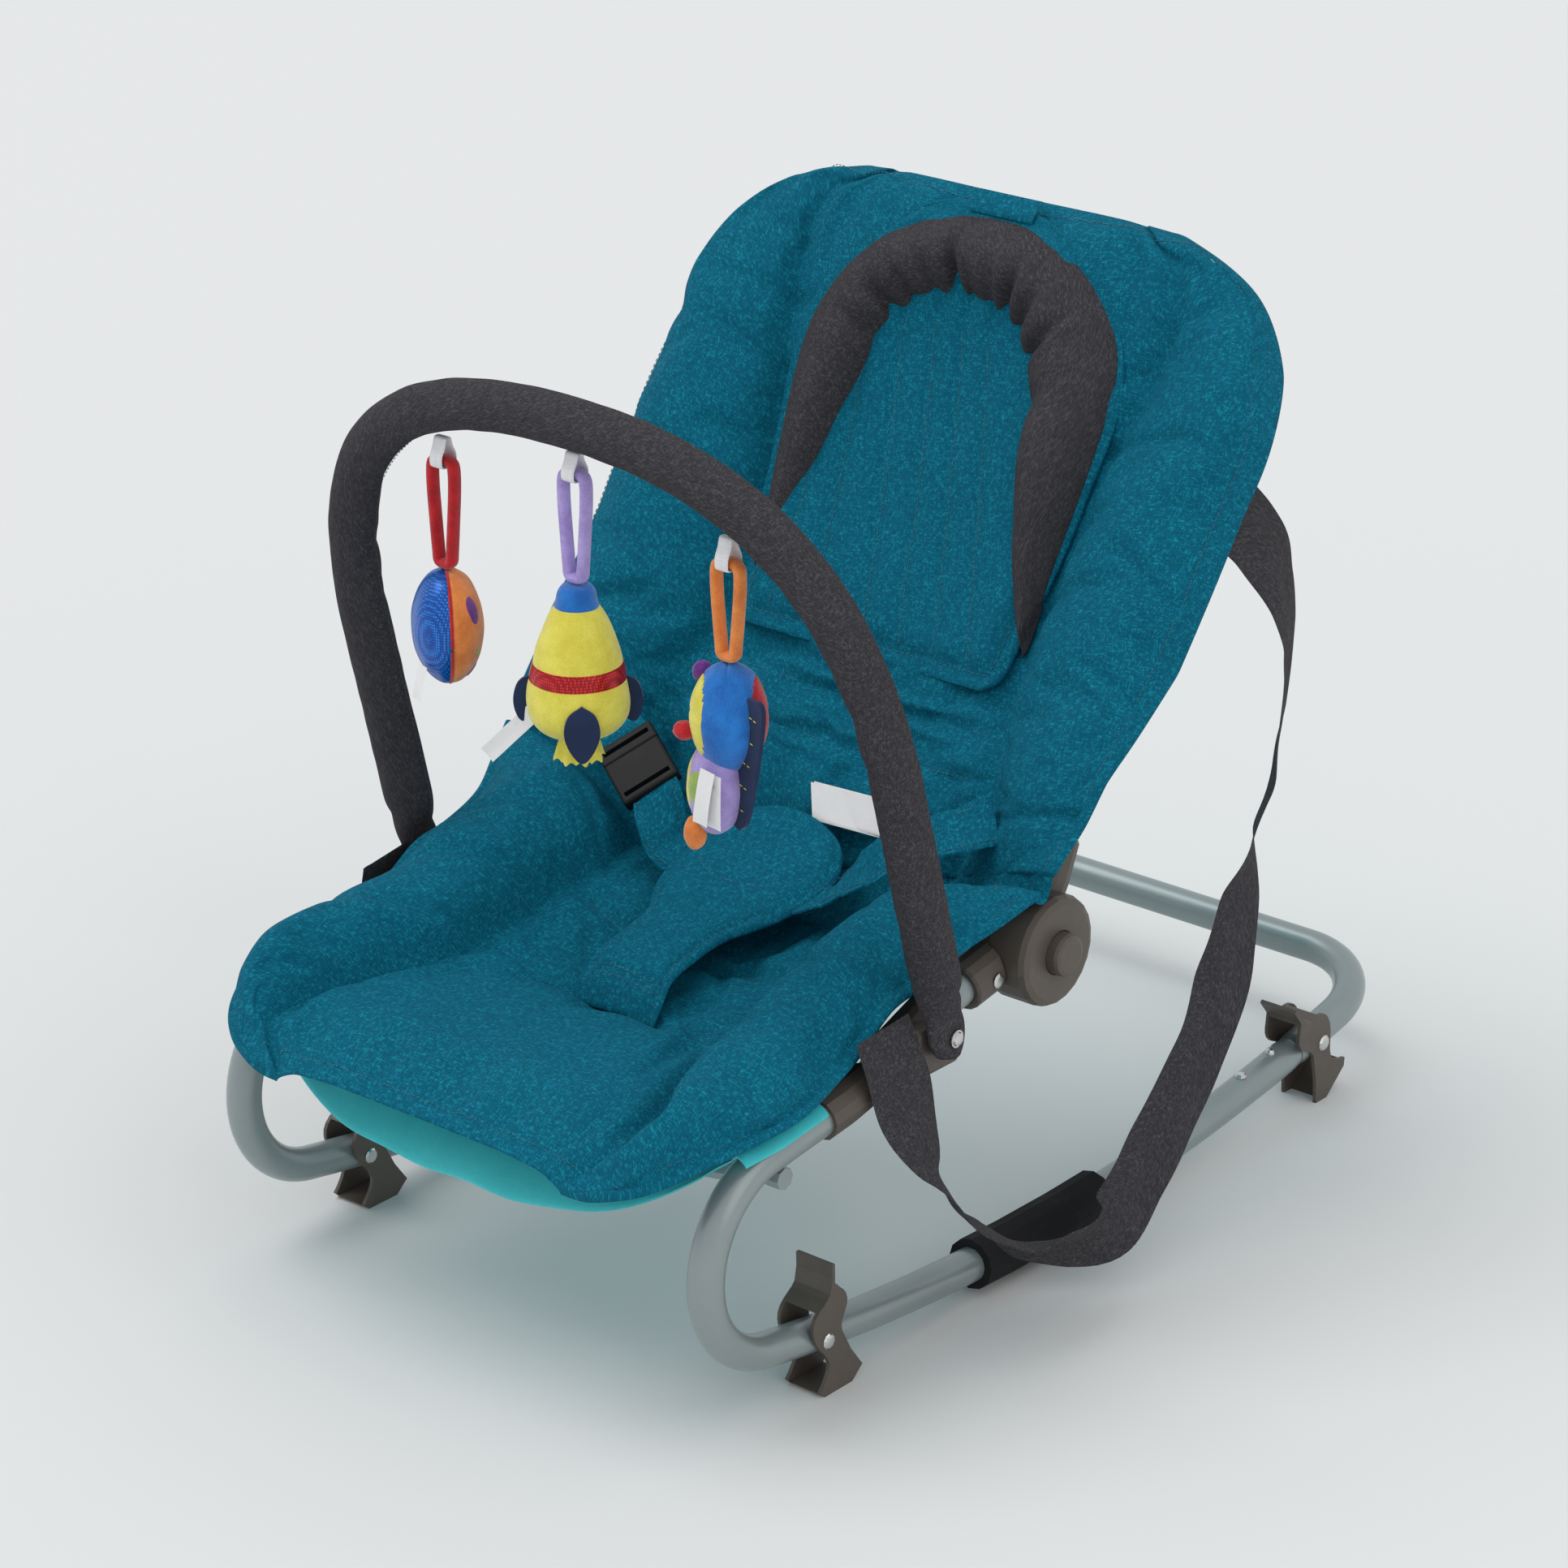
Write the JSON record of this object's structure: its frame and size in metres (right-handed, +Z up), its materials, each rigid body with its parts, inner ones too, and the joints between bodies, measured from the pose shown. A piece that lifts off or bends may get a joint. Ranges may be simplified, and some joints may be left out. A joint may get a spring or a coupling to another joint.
{
  "type": "baby rocker",
  "caption": "Padded baby rocker on a bent steel frame with rocking rails, fold-down stands, reclining back, lap belt, carry straps and a tilting toy bar with hanging soft toys.",
  "frame": {"origin": "on the floor under the middle of the rocker's bounding box", "axes": "+X to the rocker's side where the buckle is not, across it; +Y to the rear; +Z up"},
  "size_m": [0.5286, 0.7508, 0.6013],
  "materials": {
    "silver_paint": "satin silver-grey powder coat",
    "taupe_plastic": "fine texture",
    "zinc_steel": "zinc plated",
    "black_foam": "closed-cell foam",
    "teal_fabric": "heather weave",
    "turquoise_lining": "smooth lining",
    "grey_fabric": "heather weave",
    "black_plastic": "moulded",
    "blue_plush": "short plush",
    "yellow_plush": "short plush",
    "red_plush": "short plush",
    "lilac_plush": "short plush",
    "orange_plush": "short plush"
  },
  "bodies": {
    "rocker_frame": {"frame_tube_left": "silver_paint", "foam_sleeve_left": "black_foam", "rail_screw_left": "zinc_steel", "hub_arm_left": "taupe_plastic", "arm_rivet_left": "zinc_steel", "tube_collar_left": "taupe_plastic", "bar_bracket_left": "taupe_plastic", "bar_bolt_left": "zinc_steel", "stand_rivet_front_left": "zinc_steel", "stand_rivet_rear_left": "zinc_steel", "carry_strap_left": "grey_fabric", "frame_tube_right": "silver_paint", "foam_sleeve_right": "black_foam", "rail_screw_right": "zinc_steel", "hub_arm_right": "taupe_plastic", "arm_rivet_right": "zinc_steel", "tube_collar_right": "taupe_plastic", "bar_bracket_right": "taupe_plastic", "bar_bolt_right": "zinc_steel", "stand_rivet_front_right": "zinc_steel", "stand_rivet_rear_right": "zinc_steel", "carry_strap_right": "grey_fabric", "rear_tube": "silver_paint", "seat_crossbar": "silver_paint", "seat_pad": "teal_fabric", "seat_sling": "turquoise_lining", "crotch_piece": "teal_fabric", "waist_tab": "teal_fabric", "buckle_socket": "black_plastic", "waist_strap_right": "teal_fabric"},
    "backrest": {"back_tube": "silver_paint", "hub_housing_left": "taupe_plastic", "hub_housing_right": "taupe_plastic", "back_sling": "turquoise_lining", "back_pad": "teal_fabric", "head_insert": "teal_fabric", "head_roll": "grey_fabric", "hub_spring_left": "zinc_steel", "hub_spring_right": "zinc_steel"},
    "toy_bar": {"bar_sleeve": "grey_fabric", "bar_tube": "taupe_plastic"},
    "buckle_plug": {"buckle_plug": "black_plastic", "waist_strap_left": "teal_fabric"},
    "stand_front_left": {"stand_front_left": "taupe_plastic"},
    "stand_rear_left": {"stand_rear_left": "taupe_plastic"},
    "hub_button_left": {"hub_button_left": "taupe_plastic"},
    "snap_button_left": {"snap_button_left": "zinc_steel"},
    "stand_front_right": {"stand_front_right": "taupe_plastic"},
    "stand_rear_right": {"stand_rear_right": "taupe_plastic"},
    "hub_button_right": {"hub_button_right": "taupe_plastic"},
    "snap_button_right": {"snap_button_right": "zinc_steel"},
    "ball_hanging": {"ball_webbing": "grey_fabric", "ball_loop": "red_plush", "ball_toy": "blue_plush"},
    "rocket_hanging": {"rocket_webbing": "grey_fabric", "rocket_loop": "lilac_plush", "rocket_toy": "yellow_plush"},
    "plush_hanging": {"plush_webbing": "grey_fabric", "plush_loop": "orange_plush", "plush_toy": "blue_plush"}
  },
  "joints": [
    {"name": "recline", "type": "hinge", "parent": "rocker_frame", "child": "backrest", "pos_m": [0, -0.0415, 0.222], "axis": [-1, 0, 0], "range_deg": [0, 30], "deforming": ["carry_strap_left", "carry_strap_right", "waist_strap_left", "waist_strap_right"]},
    {"name": "toy_bar_tilt", "type": "hinge", "parent": "rocker_frame", "child": "toy_bar", "pos_m": [0, -0.1455, 0.204], "axis": [1, 0, 0], "range_deg": [-30, 35]},
    {"name": "stand_front_left_fold", "type": "hinge", "parent": "rocker_frame", "child": "stand_front_left", "pos_m": [-0.187, -0.2395, 0.0363], "axis": [1, 0, 0], "range_deg": [0, 29]},
    {"name": "stand_rear_left_fold", "type": "hinge", "parent": "rocker_frame", "child": "stand_rear_left", "pos_m": [-0.187, 0.274, 0.042], "axis": [-1, 0, 0], "range_deg": [0, 66]},
    {"name": "hub_button_left_press", "type": "slide", "parent": "backrest", "child": "hub_button_left", "axis": [1, 0, 0], "range_m": [0, 0.005], "stiffness_N_per_m": 1200, "springref_m": -0.002, "deforming": ["hub_spring_left"]},
    {"name": "snap_button_left_press", "type": "slide", "parent": "rocker_frame", "child": "snap_button_left", "axis": [0, 0, -1], "range_m": [0, 0.0025], "stiffness_N_per_m": 800, "springref_m": -0.002},
    {"name": "stand_front_right_fold", "type": "hinge", "parent": "rocker_frame", "child": "stand_front_right", "pos_m": [0.187, -0.2395, 0.0363], "axis": [1, 0, 0], "range_deg": [0, 29]},
    {"name": "stand_rear_right_fold", "type": "hinge", "parent": "rocker_frame", "child": "stand_rear_right", "pos_m": [0.187, 0.274, 0.042], "axis": [-1, 0, 0], "range_deg": [0, 66]},
    {"name": "hub_button_right_press", "type": "slide", "parent": "backrest", "child": "hub_button_right", "axis": [-1, 0, 0], "range_m": [0, 0.005], "stiffness_N_per_m": 1200, "springref_m": -0.002, "deforming": ["hub_spring_right"]},
    {"name": "snap_button_right_press", "type": "slide", "parent": "rocker_frame", "child": "snap_button_right", "axis": [0, 0, -1], "range_m": [0, 0.0025], "stiffness_N_per_m": 800, "springref_m": -0.002},
    {"name": "buckle_release", "type": "slide", "parent": "rocker_frame", "child": "buckle_plug", "axis": [-0.832, 0.3671, 0.416], "range_m": [0, 0.022], "deforming": ["waist_strap_left"]},
    {"name": "ball_swing", "type": "hinge", "parent": "toy_bar", "child": "ball_hanging", "pos_m": [-0.095, -0.23818, 0.53116], "axis": [1, 0, 0], "range_deg": [-27, 27]},
    {"name": "rocket_swing", "type": "hinge", "parent": "toy_bar", "child": "rocket_hanging", "pos_m": [0.012, -0.24148, 0.54581], "axis": [1, 0, 0], "range_deg": [-27, 27]},
    {"name": "plush_swing", "type": "hinge", "parent": "toy_bar", "child": "plush_hanging", "pos_m": [0.122, -0.23529, 0.51809], "axis": [1, 0, 0], "range_deg": [-27, 27]}
  ]
}
